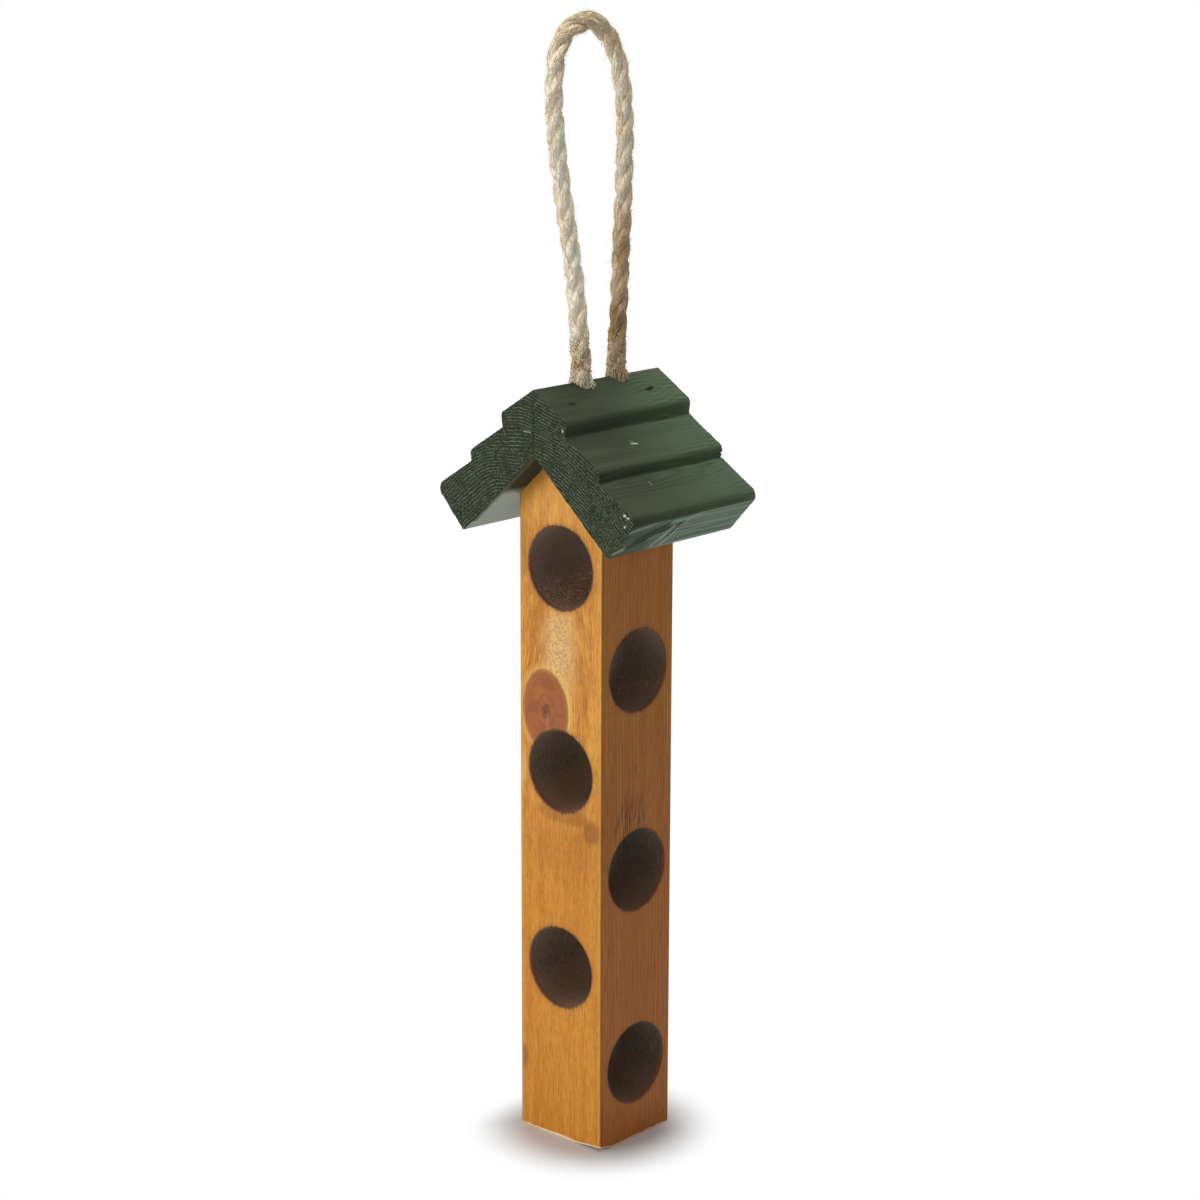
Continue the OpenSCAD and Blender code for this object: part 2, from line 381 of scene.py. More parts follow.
def stained_pine():
    """Planed pine under a translucent honey stain. The stain soaks into pores and end grain, so
    they are darker, the bores are nearly black-brown, and the flat faces keep a low satin."""
    material, tree = new_material("stained_pine")
    place, (across, deep, tall) = millimetres(tree)
    upright = add(tree, "SeparateXYZ", add(tree, "NewGeometry").outputs["Normal"]).outputs["Z"]
    sideways = add(tree, "Math", across, operation="ABSOLUTE")
    inward = add(tree, "Math", deep, operation="ABSOLUTE")

    # The grain parts round the knot as a stream does round a stone
    from_knot = add(tree, "Math", across, KNOT[0], operation="SUBTRACT")
    over_knot = add(tree, "Math", tall, KNOT[1], operation="SUBTRACT")
    squat = add(tree, "Math", over_knot, KNOT_WIDTH / KNOT_HEIGHT, operation="MULTIPLY")
    round_knot = add(tree, "CombineXYZ", from_knot, squat, 0.0)
    knot_away = add(tree, "VectorMath", round_knot, operation="LENGTH").outputs["Value"]
    off_knot = add(tree, "Math", knot_away, KNOT_WIDTH * 0.8, operation="MAXIMUM")
    squeeze = add(tree, "Math", KNOT_WIDTH * 0.78, off_knot, operation="DIVIDE")
    squeeze = add(tree, "Math", squeeze, 2.0, operation="POWER")
    squeeze = share(tree, squeeze, (deep, -12.0, -4.0, 1.0, 0.0))
    push = add(tree, "Math", from_knot, squeeze, operation="MULTIPLY")
    flow_x = add(tree, "Math", across, push, operation="SUBTRACT")
    grain = add(tree, "CombineXYZ", flow_x, deep, tall)

    # Growth rings round a pith that lies behind the post, so the sides show them as fine lines
    bend = streaks(tree, grain, (14, 14, 130), seed=1)
    pith = add(tree, "CombineXYZ", *POST_PITH, tall)
    ring = add(tree, "VectorMath", grain, pith, operation="DISTANCE").outputs["Value"]
    ring = add(tree, "Math", bend, 6.0, ring, operation="MULTIPLY_ADD")
    ring = add(tree, "Math", ring, POST_RING_SPACING, operation="DIVIDE")
    ring = add(tree, "Math", ring, operation="FRACT")
    late_wood = share(tree, (ring, 0.25, 0.85), (ring, 0.9, 1.0, 1.0, 0.0))

    broad = streaks(tree, grain, (5, 5, 70), seed=2)
    strokes = streaks(tree, grain, (0.8, 0.8, 11), 2.0, 0.65, seed=3)
    short_strokes = streaks(tree, grain, (0.5, 0.5, 4.0), 2.0, 0.6, seed=4)
    pores = share(tree, (short_strokes, 0.58, 0.72))
    cloud = streaks(tree, place, (9, 9, 20), seed=5)
    ragged = streaks(tree, place, (2.5, 2.5, 7), 3.0, seed=6)
    blotch = streaks(tree, grain, (1.4, 1.4, 3.0), seed=13)
    speckle = share(tree, (streaks(tree, place, (0.5, 0.5, 0.7), seed=8), 0.5, 0.62))

    honey = coats(
        tree, "#b67420",
        ((broad, 0.35, 0.65), "#d09338"),
        ((cloud, 0.5, 0.75, 0.0, 0.5), "#b87222"),
        ((strokes, 0.5, 0.7, 0.0, 0.75), "#dda24c"),
        ((strokes, 0.34, 0.5, 0.6, 0.0), "#a6651e"),
        ((short_strokes, 0.42, 0.32, 0.0, 0.4), "#e6b264"),
        ((blotch, 0.52, 0.7, 0.0, 0.5), "#a86a24"),
        ((tall, 250.0, 275.0, 0.0, 0.45), "#e6a94e"),
        ((tall, 100.0, 190.0, 0.5, 0.0), "#bc7619"),
    )
    scorched = spot(tree, place, (POST_HIGH.x / MM, -4, 140), (4, 8, 9), 0.7, ragged)
    russet = coats(
        tree, "#a4651f",
        ((broad, 0.3, 0.7), "#b8742d"),
        ((tall, 0.0, 190.0, 0.65, 0.0), "#b26428"),
        (late_wood, 0.4, "#7c4718"),
        ((strokes, 0.5, 0.72, 0.0, 0.5), "#b4793a"),
        ((strokes, 0.34, 0.46, 0.4, 0.0), "#744116"),
        (scorched, (strokes, 0.35, 0.6, 1.0, 0.0), "#4c2c14"),
    )

    # Pale patches over the knot, along its right side and at the left edge, with dark pores. The patch over
    # the knot is paler wood with a painted sheen
    pale = spot(tree, place, (-0.6, FRONT, 211), (7.6, 5, 16.5), 0.75, ragged)
    pale_left = spot(tree, place, (-21, FRONT, 158), (2.0, 5, 9), 0.5, ragged)
    beside_knot = (knot_away, KNOT_WIDTH + 0.6, KNOT_WIDTH + 3.6, 1.0, 0.0)
    wood = coats(
        tree, honey,
        ((sideways, 22.2, 22.45), russet),
        # Paler wood and a painted sheen over the knot
        (pale, 0.72, "#e2bc80"),
        (beside_knot, (from_knot, 0.0, 5.0, 0.6, 1.0), (deep, -20.0, -16.0, 1.0, 0.0), 0.6, "#e6bc6c"),
        (pale_left, 0.5, "#e2b973"),
        (pale, speckle, 0.6, "#8a5a2c"),
    )

    # Knot: red-brown heart with rings round a small dark core
    knot = spot(tree, place, (KNOT[0], FRONT, KNOT[1]), (KNOT_WIDTH, 9, KNOT_HEIGHT), 0.07)
    core_place = add(tree, "VectorMath", place, (-CORE[0], 0, -CORE[1]), operation="ADD")
    core_place = add(tree, "VectorMath", core_place, (1.0, 0, 0.7), operation="MULTIPLY")
    core_away = add(tree, "VectorMath", core_place, operation="LENGTH").outputs["Value"]
    wobble = streaks(tree, place, (6, 6, 6), seed=7)
    core_away = add(tree, "Math", wobble, 3.5, core_away, operation="MULTIPLY_ADD")
    knot_rings = add(tree, "Math", core_away, 2.1, operation="MULTIPLY")
    knot_rings = add(tree, "Math", knot_rings, operation="SINE")
    cream = spot(tree, place, (CORE[0] + 0.8, FRONT, CORE[1] - 5), (0.9, 5, 4.5), 0.5, ragged)
    heart = coats(
        tree, "#8c5028",
        ((strokes, 0.35, 0.65), "#a25f30"),
        ((core_away, 11.0, 14.5, 0.0, 0.5), "#b06c34"),
        ((knot_rings, 0.3, 1.0), (core_away, 3.0, 9.0, 0.75, 0.15), "#6f3c28"),
        ((core_away, 1.9, 4.2, 0.92, 0.0), "#5c2c24"),
        (cream, 0.3, "#b08560"),
    )
    knot_edge = add(tree, "Math", knot, 0.5, operation="SUBTRACT")
    knot_edge = add(tree, "Math", knot_edge, operation="ABSOLUTE")
    wood = coats(tree, wood, (knot, heart), ((knot_edge, 0.0, 0.5, 0.5, 0.0), "#8a4e20"))

    # Stains, a painted shade at the gable's top under the roof, and the pores, which the stain fills
    for middle, reach, strength in STAINS_AND_SHADE:
        stain_and_shade = spot(tree, place, middle, reach, 0.4, ragged)
        wood = coats(tree, wood, (stain_and_shade, strength, "#89501f"))
    wood = coats(tree, wood, (pores, 0.5, "#744317"))

    # Corners: the stain gathers on the arris, beside a paler band that is a painted highlight of the eased
    # corner
    off_side = add(tree, "Math", sideways, POST_HIGH.x / MM, operation="SUBTRACT")
    off_front = add(tree, "Math", inward, POST_HIGH.y / MM, operation="SUBTRACT")
    arris = add(tree, "Math", off_side, off_front, operation="ADD")
    wood = coats(
        tree, wood,
        # Painted highlight along the corners
        ((sideways, 20.2, 21.4, 0.0, 0.3), (inward, 20.7, 21.2), "#d9a04e"),
        ((arris, -0.85, -0.5, 0.0, 0.85), "#633c18"),
        ((across, -22.0, -21.3, 1.0, 0.0), (ragged, 0.3, 0.6, 0.5, 0.9), (inward, 21.0, 21.4), "#7a5630"),
    )

    # The raw sawn edge at the foot, broken out under the front face
    ragged_foot = add(tree, "Math", ragged, -1.4, tall, operation="MULTIPLY_ADD")
    foot = share(tree, (ragged_foot, -0.1, 0.35, 0.85, 0.0))
    for line_from, line_to, width in RAW_EDGES:
        foot = most(tree, foot, share(tree, (stroke(tree, place, line_from, line_to, width), 0.15, 0.5)))
    wood = coats(tree, wood, (foot, "#e4c8a4"))

    # Stain that bled from the bores: fibres carry it up and down, and tear out on the way round
    fringe = streaks(tree, place, (0.55, 0.55, 6), 2.0, 0.7, seed=9)
    tear = streaks(tree, place, (0.8, 0.8, 0.8), 2.0, 0.6, seed=11)
    lift = add(tree, "Math", fringe, 2.6, -1.3, operation="MULTIPLY_ADD")
    lifted = add(tree, "VectorMath", place, add(tree, "CombineXYZ", 0.0, 0.0, lift), operation="ADD")
    tear = add(tree, "Math", tear, 0.5, operation="SUBTRACT")
    rim = add(tree, "Math", tear, 1.2, bore_distance(tree, lifted), operation="MULTIPLY_ADD")
    wood = coats(
        tree, wood,
        ((rim, HOLE_RADIUS + 0.5, HOLE_RADIUS + 3.5, 0.3, 0.0), "#915a22"),
        ((rim, HOLE_RADIUS + 0.1, HOLE_RADIUS + 1.2, 0.95, 0.0), "#4b2f1c"),
    )

    # Bore walls: long fibres on the sides, and speckled end grain below. The lower walls, which face up,
    # and the top holes are made lighter as painted light falling in, and the pale flecks are torn end grain
    # with painted glints
    in_bore = share(tree, (bore_distance(tree, place), HOLE_RADIUS + 0.02, HOLE_RADIUS + 0.2, 1.0, 0.0))
    wall_lines = streaks(tree, place, (0.45, 0.45, 14), 2.0, 0.6, seed=12)
    fleck = streaks(tree, place, (0.9, 0.9, 0.9), 2.0, 0.6, seed=10)
    torn = streaks(tree, place, (1.1, 1.5, 1.5), 2.0, 0.6, seed=14)
    mouth = most(tree, share(tree, (inward, 3.0, 15.0)), share(tree, (sideways, 5.0, 17.0)))
    near_rim = most(tree, share(tree, (inward, 19.6, 20.6)), share(tree, (sideways, 20.6, 21.6)))
    top_hole = share(tree, (tall, 170.0, 230.0, 0.12, 1.0))
    low_wall = share(tree, (upright, 0.3, 0.75), top_hole)
    dots = add(tree, "VectorMath", place, (0.8,) * 3, operation="MULTIPLY")
    dots = add(tree, "TexVoronoi", dots, 1.0).outputs
    kept = add(tree, "SeparateColor", dots["Color"]).outputs["Red"]
    turn = add(tree, "Math", tall, math.pi / HOLE_PITCH, -math.pi * SIDE_HOLES[0] / HOLE_PITCH,
               operation="MULTIPLY_ADD")
    beside = add(tree, "Math", turn, operation="COSINE")
    bore = coats(
        tree, "#67564a",
        ((wall_lines, 0.35, 0.65), "#86745f"),
        # Painted light on the up-facing lower walls, most near the mouth and in the top holes
        ((upright, 0.2, 0.7, 0.0, 0.5), "#a07c5c"),
        ((upright, 0.45, 0.9), mouth, top_hole, 0.8, "#c08c72"),
        (low_wall, (torn, 0.5, 0.6, 0.0, 0.75), "#c98f74"),
        (low_wall, (torn, 0.46, 0.38, 0.0, 0.75), "#40261c"),
        # Flecks of torn end grain, painted near white as glints
        ((dots["Distance"], 0.18, 0.36, 1.0, 0.0), (kept, 0.5, 0.6), (upright, 0.25, 0.7), top_hole, 0.9,
         "#fff0dc"),
        ((beside, -0.2, 0.2, 0.0, 0.3), "#262a2e"),
        # Painted light in the top holes
        (top_hole, 0.4, "#a48e7c"),
        (near_rim, (upright, -0.4, 0.2, 0.0, 0.8), "#a05c3a"),
    )

    # Sawn end of the post: bare wood with its rings
    sawn = coats(tree, "#dcb98a", (late_wood, "#b98550"))
    at_foot = share(tree, (upright, -0.9, -0.7, 1.0, 0.0), (tall, 2.6, 3.2, 1.0, 0.0))
    wood = coats(tree, wood, (in_bore, bore), (at_foot, sawn))

    rough = add(tree, "MapRange", strokes, 0.2, 0.8, 0.42, 0.58)
    rough = add(tree, "Mix", in_bore, rough, 0.9, data_type="FLOAT")
    height = add(tree, "Math", late_wood, 0.4, operation="MULTIPLY")
    height = add(tree, "Math", pores, -0.5, height, operation="MULTIPLY_ADD")
    raised = share(tree, in_bore, fleck)
    height = add(tree, "Math", raised, 6.0, height, operation="MULTIPLY_ADD")
    bump = add(tree, "Bump", named={"Strength": 0.6, "Distance": 0.12 * MM, "Height": height})
    add(tree, "OutputMaterial", add(tree, "BsdfPrincipled", named={
        "Base Color": wood, "Roughness": rough, "Normal": bump, "Specular IOR Level": 0.2}))
    return material


def painted_pine():
    """Satin exterior paint brushed on moulded pine. The grain stands up under the film, the sawn
    ends drink the paint and stay rough, and small chips show the pale wood."""
    material, tree = new_material("painted_pine")
    place, (across, backward, _) = millimetres(tree)
    sideways = add(tree, "Math", across, operation="ABSOLUTE")
    arris, ring, end, chip, under, eave, ripple = (
        add(tree, "Attribute", attribute_name=name).outputs["Fac"] for name in BOARD_LAYERS)

    phase = add(tree, "Math", ring, operation="FRACT")
    brushed = streaks(tree, place, (0.8, 60, 0.8), 1.0, seed=1)
    broad = streaks(tree, place, (7, 50, 7), seed=2)
    cells = streaks(tree, place, (0.4, 1.2, 0.4), 2.0, 0.6, seed=3)
    patches = streaks(tree, place, (6, 6, 6), seed=4)
    specks = streaks(tree, place, (0.55, 1.2, 0.55), 2.0, 0.6, seed=5)

    # Painted shade: the underside next to the post, under the roof, is darkened and loses its gloss
    shaded = share(tree, under, (sideways, 17.5, 21.5, 1.0, 0.0))
    light = coats(
        tree, "#4c604e",
        ((brushed, 0.4, 0.65), "#768a79"),
        ((backward, -22.0, -8.0, 0.75, 0.0), "#2a3729"),
    )
    film = coats(
        tree, "#303629",
        ((broad, 0.35, 0.65), "#3a4230"),
        ((brushed, 0.45, 0.8, 0.0, 0.3), "#4a533e"),
        # Painted sheen: the paint is lighter towards the back
        ((backward, -20.0, 36.0, 0.0, 0.6), "#4d6147"),
        ((ripple, 0.1, 1.0, 0.0, 0.55), "#586850"),
        ((ripple, -0.1, -1.0, 0.0, 0.55), "#182015"),
        # Painted light: the underside is made much paler, as lit from the pale floor below
        (under, 0.85, "#82957f"),
        # Painted shade beside the post
        (shaded, "#394136"),
        (eave, light),
    )

    # Figure of the knot at the eave, seen through the film, scratches, and a painted shadow beside a ding
    wavy = add(tree, "VectorMath", place, (0.2,) * 3, operation="MULTIPLY")
    wavy = add(tree, "TexNoise", wavy, 1.0, 2.0).outputs["Color"]
    wavy = add(tree, "VectorMath", wavy, (1.8,) * 3, (-0.9,) * 3, operation="MULTIPLY_ADD")
    swayed = add(tree, "VectorMath", place, wavy, operation="ADD")
    marks = [(share(tree, stroke(tree, swayed, *line), eave, strength), colour)
             for *line, strength, colour in EAVE_FIGURE]
    marks += [(share(tree, stroke(tree, place, *line), (cells, 0.35, 0.5, 0.3, 1.0)), colour)
              for *line, colour in SCRATCHES_AND_SHADE]
    film = coats(tree, film, *marks)
    dull = most(tree, 0.0, *(mark for mark, colour in marks if max(linear(colour)[:3]) < DULL_BELOW))

    late_wood = share(tree, (phase, 0.5, 0.66), (phase, 0.7, 0.86, 1.0, 0.0))
    ring_share = share(tree, late_wood, (patches, 0.35, 0.6, 0.25, 0.9), (across, -3.0, 3.0, 0.9, 1.0),
                       (specks, 0.36, 0.56, 0.2, 1.0))
    sawn = coats(
        tree, "#151b12",
        ((specks, 0.38, 0.62), "#333c2b"),
        ((cells, 0.55, 0.7, 0.0, 0.7), "#45543f"),
        (ring_share, 0.85, "#77806a"),
        ((specks, 0.62, 0.72), (patches, 0.6, 0.4, 0.3, 1.0), "#74836f"),
    )
    paint = coats(
        tree, film,
        (end, sawn),
        (arris, (cells, 0.55, 0.75), 0.4, "#6d775c"),
        (chip, (cells, 0.36, 0.5), "#dcdccb"),
    )

    rough = add(tree, "MapRange", brushed, 0.2, 0.8, 0.55, 0.65)
    for where, level in ((under, 0.3), (eave, 0.5), (end, 0.62)):
        rough = add(tree, "Mix", where, rough, level, data_type="FLOAT")
    satin = PAINT_GLOSS
    for where, level in ((eave, 0.07), (under, 0.4), (shaded, 0.02), (share(tree, dull, 0.8), 0.0)):
        satin = add(tree, "Mix", where, satin, level, data_type="FLOAT")
    height = add(tree, "Math", cells, end, brushed, operation="MULTIPLY_ADD")
    bump = add(tree, "Bump", named={"Strength": 0.4, "Distance": 0.12 * MM, "Height": height})
    shader = add(tree, "BsdfPrincipled", named={
        "Base Color": paint, "Roughness": rough, "Normal": bump,
        "Specular IOR Level": PAINT_GLOSS, "Specular Tint": linear("#b4beb4")})
    # The link varies the gloss, and the socket keeps the laps' level as its plain value
    tree.links.new(satin.outputs[0], shader.inputs["Specular IOR Level"])
    add(tree, "OutputMaterial", shader)
    return material


def sisal():
    """Three-strand sisal rope, spun from coarse leaf fibre: pale straw with browner fibres that
    run along the rope, dull, and with painted shade down between the strands."""
    material, tree = new_material("sisal_rope")
    place, (_, backward, tall) = millimetres(tree)
    lay = add(tree, "Attribute", attribute_name="lay").outputs["Vector"]
    crown, tone = (add(tree, "Attribute", attribute_name=name).outputs["Fac"] for name in ("crown", "tone"))

    fibres = streaks(tree, lay, (0.28, 0.28, 3.5), 2.0, 0.6, seed=1)
    locks = streaks(tree, lay, (1.1, 1.1, 9), seed=2)
    patches = streaks(tree, place, (6, 6, 12), seed=3)
    flax = streaks(tree, lay, (0.5, 0.5, 5), 2.0, 0.6, seed=4)
    shade = add(tree, "Math", share(tree, (fibres, 0.3, 0.7)), tone, operation="ADD")
    shade = add(tree, "Math", share(tree, (locks, 0.35, 0.7, -0.25, 0.25)), shade, operation="ADD")

    # The front root is golden where it leaves the roof, with painted light on the stretch over it,
    # and the back leg is browner, in patches
    above = add(tree, "Math", tall, RIDGE_Z / MM, operation="SUBTRACT")
    pale = spot(tree, place, (0, FRONT_Y / MM - 1, RIDGE_Z / MM + 40), (9, 9, 26), 0.5)
    back = share(tree, (backward, 4.0, 8.0))
    brown = share(tree, (above, 52.0, 76.0, 0.62, 0.0))
    for height, reach, strength in ((20, 9, 1.0), (50, 9, 0.85)):
        patch = spot(tree, place, (0, BACK_Y / MM, RIDGE_Z / MM + height), (9, 9, reach), 0.6)
        brown = most(tree, brown, share(tree, patch, strength))
    stain = spot(tree, place, (0, BACK_Y / MM, RIDGE_Z / MM + 24), (9, 9, 5.5), 0.6)
    straw = coats(
        tree, "#fffdee",
        ((shade, 1.0, 2.0), "#b28d54"),
        ((patches, 0.4, 0.65, 0.0, 0.4), "#ffe4be"),
        ((flax, 0.56, 0.66, 0.0, 0.35), "#dab67a"),
        # Painted shade down between the strands
        ((crown, 0.0, 0.4, 0.12, 0.0), "#9a7a50"),
        ((above, 13.0, 20.0, 1.0, 0.0), (locks, 0.38, 0.58, 0.15, 0.8), (above, 2.0, 6.0, 0.3, 1.0),
         (backward, 0.0, 4.0, 1.0, 0.3), "#c8a058"),
        ((above, 122.0, 134.0, 0.0, 0.48), "#b8985c"),
        # Painted light on the front leg over the roof
        (pale, 0.45, "#fff6e2"),
        (back, 0.2, "#c4a05e"),
        (brown, back, (patches, 0.2, 0.55, 0.6, 1.0), (fibres, 0.35, 0.65, 0.72, 1.0), "#b0843c"),
        (stain, (locks, 0.3, 0.6, 0.2, 0.6), "#84602c"),
    )

    height = add(tree, "Math", fibres, locks, operation="ADD")
    bump = add(tree, "Bump", named={"Strength": 0.9, "Distance": 0.3 * MM, "Height": height})
    add(tree, "OutputMaterial", add(tree, "BsdfPrincipled", named={
        "Base Color": straw, "Roughness": 0.95, "Normal": bump, "Specular IOR Level": 0.08,
        "Sheen Weight": 0.8, "Sheen Tint": linear("#fff0d0")}))
    return material


def bright_wire():
    """Drawn steel wire of a brad: grey metal with a faint grain along it"""
    material, tree = new_material("steel_wire")
    drawn = streaks(tree, millimetres(tree)[0], (0.2, 0.2, 6))
    grey = coats(tree, "#7f8286", (drawn, "#a5a8ac"))
    rough = add(tree, "MapRange", drawn, 0.0, 1.0, 0.28, 0.45)
    add(tree, "OutputMaterial", add(tree, "BsdfPrincipled", named={
        "Base Color": grey, "Roughness": rough, "Metallic": 1.0}))
    return material


def torn_wood():
    """Loose fibres at the mouths of the bores, soaked dark by the stain"""
    material, tree = new_material("torn_pine_fibre")
    fibre = streaks(tree, millimetres(tree)[0], (0.6, 0.6, 3))
    brown = coats(tree, "#3a281c", ((fibre, 0.35, 0.7), "#8a5c38"))
    add(tree, "OutputMaterial", add(tree, "BsdfPrincipled", named={"Base Color": brown, "Roughness": 0.85}))
    return material


def new_object(name, data):
    """An object in the scene"""
    made = bpy.data.objects.new(name, data)
    bpy.context.scene.collection.objects.link(made)
    return made


def place_piece(name, mesh, material):
    """Makes a piece of the feeder from a mesh"""
    piece = new_object(name, mesh)
    mesh.materials.append(material)
    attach(piece, "root")
    return piece


def set_attribute(mesh, name, values):
    """Gives the mesh's points a number or a vector each"""
    kind, field = ("FLOAT", "value") if values.ndim == 1 else ("FLOAT_VECTOR", "vector")
    attribute = mesh.attributes.new(name, kind, "POINT")
    attribute.data.foreach_set(field, values.astype(np.float32).ravel())


def rope_section():
    """The cross-section of a strand, with the bulges of its yarns"""
    curve = bpy.data.curves.new("strand_section", "CURVE")
    spline = curve.splines.new("POLY")
    spline.points.add(SECTION_POINTS - 1)
    for i, point in enumerate(spline.points):
        angle = 2 * math.pi * i / SECTION_POINTS
        radius = SECTION_R + YARN_BULGE * math.cos(YARNS * angle)
        point.co = (radius * math.cos(angle), radius * math.sin(angle), 0, 1)
    spline.use_cyclic_u = True
    return bpy.data.objects.new("strand_section", curve)


def spin(name, lines, section=None):
    """A mesh of tubes that follow lines of (place, radius), round or with a section"""
    curve = bpy.data.curves.new(name, "CURVE")
    curve.dimensions = "3D"
    curve.twist_mode = "MINIMUM"
    curve.use_fill_caps = True
    if section:
        curve.bevel_mode = "OBJECT"
        curve.bevel_object = section
    else:
        curve.bevel_depth = 1
        curve.bevel_resolution = 0
    for line in lines:
        spline = curve.splines.new("POLY")
        spline.points.add(len(line) - 1)
        for point, (place, radius) in zip(spline.points, line):
            point.co = (*place, 1)
            point.radius = radius
    maker = new_object(name + "_line", curve)
    bpy.context.view_layer.update()
    mesh = bpy.data.meshes.new_from_object(maker.evaluated_get(bpy.context.evaluated_depsgraph_get()))
    bpy.data.objects.remove(maker)
    bpy.data.curves.remove(curve)
    mesh.name = name
    mesh.shade_smooth()
    return mesh


def smooth_route(points, step):
    """Points a step apart on a smooth curve through the given points, and their distances along it"""
    points = np.array([points[0], *points, points[-1]], float)
    fine = []
    for a, b, c, d in zip(points, points[1:], points[2:], points[3:]):
        for u in np.linspace(0, 1, 40, endpoint=False):
            fine.append(0.5 * (2 * b + (c - a) * u + (2 * a - 5 * b + 4 * c - d) * u ** 2
                               + (3 * b - 3 * c + d - a) * u ** 3))
    fine = np.array([*fine, points[-1]])
    along = np.concatenate([[0], np.cumsum(np.linalg.norm(np.diff(fine, axis=0), axis=1))])
    wanted = np.linspace(0, along[-1], round(along[-1] / step) + 1)
    return np.stack([np.interp(wanted, along, fine[:, i]) for i in range(3)], axis=1), wanted


class Rope:
    """The whole rope, from the bottom of the front socket to the bottom of the back one"""

    def __init__(self):
        middle = (FRONT_Y + BACK_Y) / 2
        free = [[0, middle + y * MM, RIDGE_Z + z * MM] for y, z in LOOP_ROUTE]
        points = [[0, FRONT_Y, SOCKET_Z], [0, FRONT_Y, RIDGE_Z], *free,
                  [0, BACK_Y, RIDGE_Z], [0, BACK_Y, SOCKET_Z]]
        self.line, self.along = smooth_route(points, ROPE_STEP)
        ahead = np.gradient(self.line, axis=0)
        self.ahead = ahead / np.linalg.norm(ahead, axis=1)[:, None]
        self.side = np.tile([1.0, 0, 0], (len(self.line), 1))
        self.other = np.cross(self.ahead, self.side)
        depth = RIDGE_Z - SOCKET_Z
        self.first = int(np.searchsorted(self.along, depth))
        self.last = int(np.searchsorted(self.along, self.along[-1] - depth)) - 1
        self.length = self.along[-1] - 2 * depth

    def turn(self, strand, i):
        """Angle of a strand about the rope's middle, with the unevenness of hand-laid rope"""
        drift = TURN_DRIFT * noise.noise(Vector((self.along[i] / TURN_DRIFT_REACH, 3.7, 0)))
        return 2 * math.pi * (strand / STRANDS + self.along[i] / LAY) + drift

    def out(self, i, angle):
        """Unit vector away from the rope's middle"""
        return math.cos(angle) * self.side[i] + math.sin(angle) * self.other[i]

    def bulk(self, i):
        """How much thicker the rope is than usual"""
        way = self.along[i]
        leave = min(abs(way - self.along[self.first]), abs(way - self.along[self.last]))
        reach = FLARE_REACH if self.first < i < self.last else FLARE_REACH / 4
        bend = abs(way - self.along[-1] / 2) / BEND_REACH
        foot = max(0.0, 1 - (way - self.along[self.first]) / FRONT_SWELL_REACH)
        uneven = ROPE_UNEVEN * noise.noise(Vector((way / ROPE_UNEVEN_REACH, 1.3, 5)))
        swell = FLARE * math.exp(-(leave / reach) ** 2) + BEND_SWELL * math.exp(-bend ** 2)
        return 1 + swell + FRONT_SWELL * min(1, foot) + uneven

    def strand(self, strand, first, last):
        """The line that a strand follows, with its radius"""
        made = []
        for i in range(first, last + 1):
            where = Vector((self.along[i] / STRAND_UNEVEN_REACH, strand * 5.1, 1))
            full = self.bulk(i) * (1 + STRAND_UNEVEN * noise.noise(where))
            place = self.line[i] + STRAND_OFFSET * self.bulk(i) * self.out(i, self.turn(strand, i))
            made.append((place, STRAND_R * full))
        return made

    def reach(self, i, strand, angle):
        """How far a strand's surface is from the rope's middle at an angle"""
        apart = angle - self.turn(strand, i)
        inside = STRAND_R ** 2 - (STRAND_OFFSET * math.sin(apart)) ** 2
        if inside < 0:
            return 0.55 * STRAND_R
        return self.bulk(i) * (STRAND_OFFSET * math.cos(apart) + math.sqrt(inside))

    def surface(self, i, angle):
        """How far the rope's surface is from its middle at an angle"""
        return max(self.reach(i, strand, angle) for strand in range(STRANDS))

    def somewhere(self, i):
        """A random angle about the rope's middle, with the ways out and round from there"""
        angle = draw.uniform(0, 2 * math.pi)
        return angle, self.out(i, angle), self.out(i, angle + math.pi / 2)


def strands(rope, name, first, last, material):
    """The rope's three strands over a stretch, with what the sisal needs to know"""
    section = rope_section()
    mesh = spin(name, [rope.strand(k, first, last) for k in range(STRANDS)], section)
    bpy.data.objects.remove(section)
    count = last - first + 1
    ring_points = STRANDS * count * SECTION_POINTS
    places = np.array([v.co for v in mesh.vertices])
    body = places[:ring_points].reshape(STRANDS, count, SECTION_POINTS, 3)
    stretch = slice(first, last + 1)
    away = body - rope.line[stretch][None, :, None, :]
    lay = np.stack([(away * rope.side[stretch][None, :, None, :]).sum(axis=3) / MM,
                    (away * rope.other[stretch][None, :, None, :]).sum(axis=3) / MM,
                    np.broadcast_to(rope.along[stretch][None, :, None] / MM, away.shape[:3])], axis=3)
    crown = np.ones(len(places))
    crown[:ring_points] = np.clip((np.linalg.norm(away, axis=3).ravel() - STRAND_R) / STRAND_OFFSET, 0, 1)
    straight = np.zeros((len(places), 3))
    straight[:ring_points] = lay.reshape(-1, 3)
    set_attribute(mesh, "crown", crown)
    set_attribute(mesh, "lay", straight)
    set_attribute(mesh, "tone", np.full(len(places), 0.4))
    return place_piece(name, mesh, material)


def hairs(name, lines, material):
    """Separate fibres of the rope, each with a tone of its own"""
    mesh = spin(name, lines)
    places = np.array([v.co for v in mesh.vertices])
    tones = np.repeat([draw.random() for _ in lines], [len(line) * 4 for line in lines])
    set_attribute(mesh, "tone", np.resize(tones, len(places)))
    set_attribute(mesh, "crown", np.ones(len(places)))
    set_attribute(mesh, "lay", places / MM)
    return place_piece(name, mesh, material)


